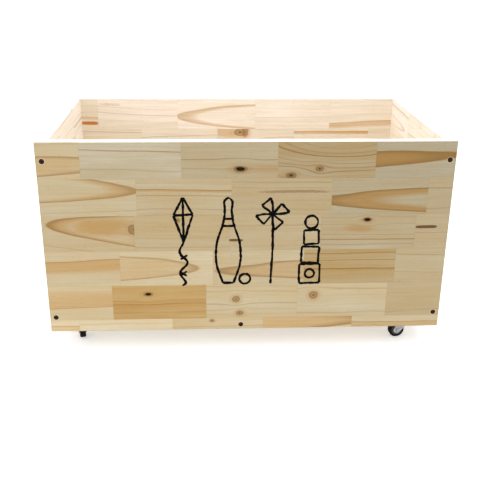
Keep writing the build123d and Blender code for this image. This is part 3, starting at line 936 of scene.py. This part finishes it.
def black_phosphate():
    """A wood screw's dull black finish, worn to steel on its high spots."""
    net = Net("black_phosphate", specular_ior_level=0.12)
    x, y, z = net.place()
    grit = net.noise(net.vector(x, y, z), scale=1.6, detail=4.0, roughness=0.7)
    worn = net.noise(net.vector(x, y, z), scale=0.5, detail=2.0).smooth(0.6, 0.72)
    colour = net.mix(grit * 0.6, srgb(34, 22, 12), srgb(70, 50, 30))
    colour = net.mix(worn * 0.5, colour, srgb(120, 112, 102))
    return net.finish(colour, 0.62 - worn * 0.2 + (grit - 0.5) * 0.3, grit, 0.05 * MM)


def zinc_plate():
    """Bright zinc plate, with fine rolling lines, cloudy patches and dull handled spots."""
    net = Net("zinc_plate", metallic=1.0)
    x, y, z = net.place()
    rolled = net.noise(net.vector(x / 9.0, y / 0.25, z / 9.0), detail=3.0, roughness=0.6)
    cloud = net.noise(net.vector(x, y, z), scale=0.16, detail=3.0)
    scuffs = net.noise(net.vector(x, y, z), scale=1.1, detail=4.0, roughness=0.7).smooth(0.62, 0.7)
    colour = net.mix(cloud.smooth(0.35, 0.7), srgb(176, 178, 180), srgb(148, 149, 152))
    colour = net.mix(scuffs * 0.4, colour, srgb(104, 102, 98))
    return net.finish(colour, 0.3 + cloud * 0.18 + scuffs * 0.2 + (rolled - 0.5) * 0.15, rolled, 0.02 * MM)


def ball_steel():
    """Polished ball-race steel under a film of grease."""
    net = Net("ball_steel", metallic=1.0)
    x, y, z = net.place()
    grease = net.noise(net.vector(x, y, z), scale=0.8, detail=2.0)
    colour = net.mix(grease.smooth(0.45, 0.75) * 0.5, srgb(190, 190, 192), srgb(120, 104, 76))
    return net.finish(colour, 0.12 + grease * 0.2, grease, 0.01 * MM)


def hub_plastic():
    """Dark moulded plastic with a fine spark-eroded grain and scratches."""
    net = Net("hub_plastic", specular_ior_level=0.45)
    x, y, z = net.place()
    pits = net.noise(net.vector(x, y, z), scale=3.0, detail=2.0)
    scratch = net.noise(net.vector(x / 4.0, y / 0.3, z / 2.0), detail=2.0).smooth(0.66, 0.74)
    colour = net.mix(pits, srgb(40, 40, 42), srgb(56, 56, 58))
    colour = net.mix(scratch * 0.4, colour, srgb(96, 95, 94))
    return net.finish(colour, 0.42 + (pits - 0.5) * 0.3 + scratch * 0.15, pits - scratch * 0.5, 0.04 * MM)


def tyre_rubber():
    """Solid black rubber, dusty, with fine moulding marks."""
    net = Net("tyre_rubber", specular_ior_level=0.12)
    x, y, z = net.place()
    dust = net.noise(net.vector(x, y, z), scale=0.35, detail=4.0, roughness=0.65)
    pores = net.noise(net.vector(x, y, z), scale=2.4, detail=3.0)
    colour = net.mix(dust.smooth(0.45, 0.8) * 0.5, srgb(10, 10, 11), srgb(44, 42, 39))
    return net.finish(colour, 0.72 + (dust - 0.5) * 0.25, pores, 0.05 * MM)


def finish_cad_nodes():
    """Gives every screw and caster piece that is shown as the CAD made it its own material."""
    zinc = zinc_plate()
    finishes = {
        "plate_screws": zinc, "screws": black_phosphate(), "plate": zinc, "kingpin": zinc, "fork": zinc,
        "axle": zinc, "balls": ball_steel(), "wheel_hub": hub_plastic(), "tyre": tyre_rubber(),
    }
    for name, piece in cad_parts.items():
        kind = next((k for k in finishes if name.endswith("_" + k)), None)
        if kind:
            for slot in piece.material_slots:
                slot.material = finishes[kind]


# ---------------------------------------------------------------- floor, light and camera

FLOOR_RADIUS = 30.0  # metres, as are the lamps' places and sizes
FLOOR_GLOW = 0.44  # it is lit from below, as a light table is
OVERHEAD_STRENGTH = 1.05
OVERHEAD_SPREAD = math.radians(70.0)
OVERHEAD_LEAN = math.radians(-12.0)  # from straight above
SOFTBOX_PLACE, SOFTBOX_SIZE, SOFTBOX_POWER = (-2.2, -0.9, 1.0), (1.4, 1.4), 11
OPENING_PLACE, OPENING_SIZE, OPENING_POWER = (0.0, -0.1, 0.78), (0.5, 0.12), 2.0
SURROUNDINGS = 0.95
WHITE = (1.0, 1.0, 1.0, 1.0)


def floor_material():
    """A matt white studio floor with a barely visible mottle, lit from below."""
    net = Net("studio_floor", specular_ior_level=0.1)
    x, y, z = net.place()
    mottle = net.noise(net.vector(x, y, z), scale=0.01, detail=3.0)
    colour = net.mix(mottle, srgb(230, 230, 229), srgb(236, 236, 235))
    net.shader.inputs["Emission Color"].default_value = WHITE
    net.shader.inputs["Emission Strength"].default_value = FLOOR_GLOW
    return net.finish(colour, 0.85 + (mottle - 0.5) * 0.1, mottle, 0.1 * MM)


def studio_floor():
    """A wide round floor."""
    mesh = bmesh.new()
    bmesh.ops.create_circle(mesh, cap_ends=True, segments=96, radius=FLOOR_RADIUS)
    mesh_object("studio_floor", mesh, floor_material())


def soft_light(name, place, target, size, power):
    """A rectangular lamp that the camera does not see."""
    light = bpy.data.lights.new(name, "AREA")
    light.shape, light.size, light.size_y = "RECTANGLE", *size
    light.energy = power
    lamp = bpy.data.objects.new(name, light)
    lamp.location = place
    lamp.visible_camera = False
    lamp.rotation_euler = (Vector(target) - Vector(place)).to_track_quat("-Z", "Y").to_euler()
    bpy.context.scene.collection.objects.link(lamp)


def studio():
    """A broad light from above, a softbox at the left, a lamp over the opening, and white surroundings."""
    overhead = bpy.data.lights.new("overhead", "SUN")
    overhead.energy, overhead.angle = OVERHEAD_STRENGTH, OVERHEAD_SPREAD
    lamp = bpy.data.objects.new("overhead", overhead)
    lamp.rotation_euler = (OVERHEAD_LEAN, 0.0, 0.0)
    bpy.context.scene.collection.objects.link(lamp)
    soft_light("left", SOFTBOX_PLACE, (0.0, 0.0, 0.2), SOFTBOX_SIZE, SOFTBOX_POWER)
    soft_light("opening", OPENING_PLACE, (0.0, 0.0, 0.0), OPENING_SIZE, OPENING_POWER)
    world = bpy.data.worlds.new("studio")
    world.use_nodes = True
    background = world.node_tree.nodes["Background"]
    background.inputs["Color"].default_value = WHITE
    background.inputs["Strength"].default_value = SURROUNDINGS
    bpy.context.scene.world = world
    bpy.context.scene.view_settings.view_transform = "Standard"


CAMERA_PLACE = Vector((-0.0655, -1.2410, 0.5790))
CAMERA_PITCH = math.radians(22.64)  # downwards
CAMERA_YAW = math.radians(3.37)  # from +Y towards +X
CAMERA_ROLL = math.radians(0.61)
CAMERA_LENS, CAMERA_SENSOR = 57.66, 36.0  # millimetres
CAMERA_SHIFT = (-0.0119, 0.0613)


def camera():
    """The camera, in front of the box and above it, looking down into its opening."""
    ahead = Vector((math.sin(CAMERA_YAW) * math.cos(CAMERA_PITCH),
                    math.cos(CAMERA_YAW) * math.cos(CAMERA_PITCH), -math.sin(CAMERA_PITCH)))
    level = Vector((math.cos(CAMERA_YAW), -math.sin(CAMERA_YAW), 0.0))
    right = level * math.cos(CAMERA_ROLL) + level.cross(ahead) * math.sin(CAMERA_ROLL)
    up = right.cross(ahead)
    data = bpy.data.cameras.new("camera")
    data.sensor_width, data.lens = CAMERA_SENSOR, CAMERA_LENS
    data.shift_x, data.shift_y = CAMERA_SHIFT
    piece = bpy.data.objects.new("camera", data)
    piece.matrix_world = Matrix.Translation(CAMERA_PLACE) @ Matrix((right, up, -ahead)).transposed().to_4x4()
    bpy.context.scene.collection.objects.link(piece)
    bpy.context.scene.camera = piece


camera()
studio()
studio_floor()
boards()
drawings()
finish_cad_nodes()
